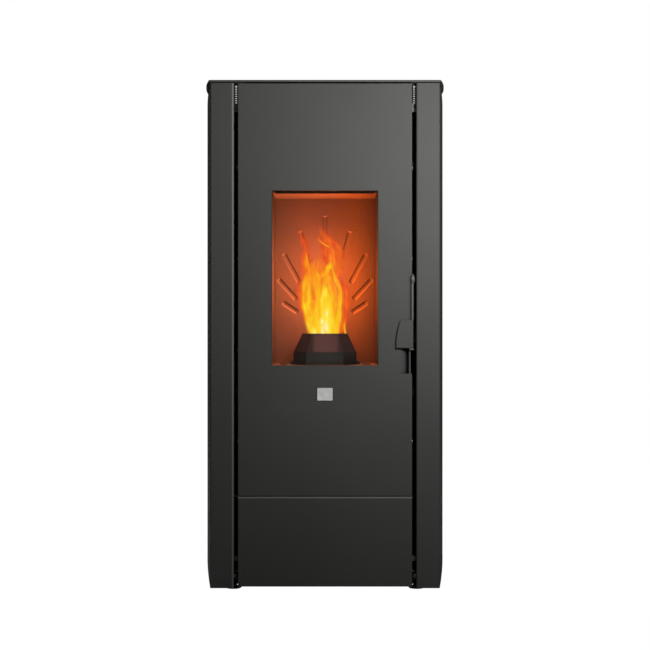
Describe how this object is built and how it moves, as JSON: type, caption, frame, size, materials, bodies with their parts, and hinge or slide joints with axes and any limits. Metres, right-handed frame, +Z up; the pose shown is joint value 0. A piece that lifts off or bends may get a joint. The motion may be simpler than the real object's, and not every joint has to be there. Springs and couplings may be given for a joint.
{
  "type": "pellet stove",
  "caption": "Freestanding pellet stove with bowed steel sides, glazed door with a lever handle, top-loading hopper, auger-fed burn pot, fans and a slide-out ash drawer.",
  "frame": {"origin": "floor level, middle of the bounding box, with the handle at the front and the pipe spigots at the back included", "axes": "+Z up; the front with the door faces -Y; +X to the viewer's right when facing the door"},
  "size_m": [0.58, 0.5838, 1.113],
  "materials": {
    "anthracite_paint": "satin anthracite paint, fine texture",
    "black_paint": "matt black heat-proof paint",
    "zinc_steel": "zinc plated",
    "foot_steel": "black",
    "handle_metal": "satin dark paint",
    "badge_metal": "satin, blank",
    "firebox_iron": "raw, slightly rough",
    "cast_aluminium": "as cast",
    "motor_black": "semi-gloss",
    "ceramic_glass": "clear",
    "display_glass": "gloss black",
    "gasket_fibre": "black glass fibre",
    "black_plastic": "matt"
  },
  "bodies": {
    "casing": {"right_side_panel": "anthracite_paint", "left_side_panel": "anthracite_paint", "rear_panel": "black_paint", "top_deck": "anthracite_paint", "top_front_plate": "anthracite_paint", "control_display": "display_glass", "lid_hinge_brackets": "black_paint", "lid_hinge_pins": "zinc_steel", "base_plate": "black_paint", "chassis_posts": "black_paint", "levelling_feet": "foot_steel", "foot_lock_nuts": "foot_steel", "slot_hanger_bolts": "zinc_steel", "slot_hanger_brackets": "black_paint", "slot_foot_brackets": "black_paint", "door_hinge_pins": "zinc_steel", "door_hinge_bracket": "black_paint", "latch_keeper": "black_paint", "firebox_front_frame": "black_paint", "firebox_shell": "black_paint", "side_liners": "firebox_iron", "back_plate": "firebox_iron", "baffle_plate": "firebox_iron", "firebox_floor": "firebox_iron", "pot_holder": "zinc_steel", "igniter": "black_paint", "ash_chute": "black_paint", "drawer_runners": "black_paint", "hopper": "zinc_steel", "auger_tube": "black_paint", "gear_motor": "cast_aluminium", "smoke_passage": "black_paint", "exhaust_fan_housing": "cast_aluminium", "exhaust_motor": "motor_black", "flue_pipe": "black_paint", "air_intake_pipe": "black_paint", "blower_housing": "zinc_steel", "blower_motor": "motor_black", "control_box": "black_plastic", "mains_inlet": "black_plastic"},
    "door": {"door_skin": "anthracite_paint", "door_frame": "firebox_iron", "door_glass": "ceramic_glass", "glass_tape": "gasket_fibre", "door_rope_gasket": "gasket_fibre", "door_edge_screws": "black_paint", "handle_pocket": "anthracite_paint", "badge_plate": "badge_metal", "handle_bearings": "handle_metal"},
    "handle": {"handle_rod": "handle_metal", "handle_plate": "anthracite_paint", "latch_hook": "zinc_steel"},
    "ash_drawer": {"ash_drawer_front": "anthracite_paint", "ash_pan": "zinc_steel"},
    "hopper_lid": {"hopper_lid": "anthracite_paint"},
    "burn_pot": {"burn_pot": "firebox_iron"},
    "auger": {"auger_screw": "zinc_steel"},
    "exhaust_impeller": {"exhaust_impeller": "cast_aluminium"},
    "blower_drum": {"blower_drum": "zinc_steel"},
    "mains_rocker": {"mains_rocker": "black_plastic"}
  },
  "joints": [
    {"name": "door_hinge", "type": "hinge", "parent": "casing", "child": "door", "pos_m": [-0.1835, -0.2751, 0.65], "axis": [0, 0, -1], "range_deg": [0, 100]},
    {"name": "handle_lever", "type": "hinge", "parent": "door", "child": "handle", "pos_m": [0.1908, -0.2865, 0.6], "axis": [0, 0, 1], "range_deg": [0, 22]},
    {"name": "ash_drawer_slide", "type": "slide", "parent": "casing", "child": "ash_drawer", "axis": [0, -1, 0], "range_m": [0, 0.28]},
    {"name": "hopper_lid_hinge", "type": "hinge", "parent": "casing", "child": "hopper_lid", "pos_m": [0.15, 0.2379, 1.109], "axis": [-1, 0, 0], "range_deg": [0, 80]},
    {"name": "burn_pot_lift", "type": "slide", "parent": "casing", "child": "burn_pot", "axis": [0, 0, 1], "range_m": [0, 0.05]},
    {"name": "auger_spin", "type": "hinge", "parent": "casing", "child": "auger", "pos_m": [0, 0.1819, 0.522], "axis": [0, 1, 0], "continuous": true},
    {"name": "exhaust_impeller_spin", "type": "hinge", "parent": "casing", "child": "exhaust_impeller", "pos_m": [-0.03, 0.1069, 0.236], "axis": [0, 1, 0], "continuous": true},
    {"name": "blower_drum_spin", "type": "hinge", "parent": "casing", "child": "blower_drum", "pos_m": [0, 0.1949, 0.078], "axis": [1, 0, 0], "continuous": true},
    {"name": "mains_rocker_hinge", "type": "hinge", "parent": "casing", "child": "mains_rocker", "pos_m": [-0.205, 0.2539, 0.1255], "axis": [-1, 0, 0], "range_deg": [0, 16]}
  ]
}
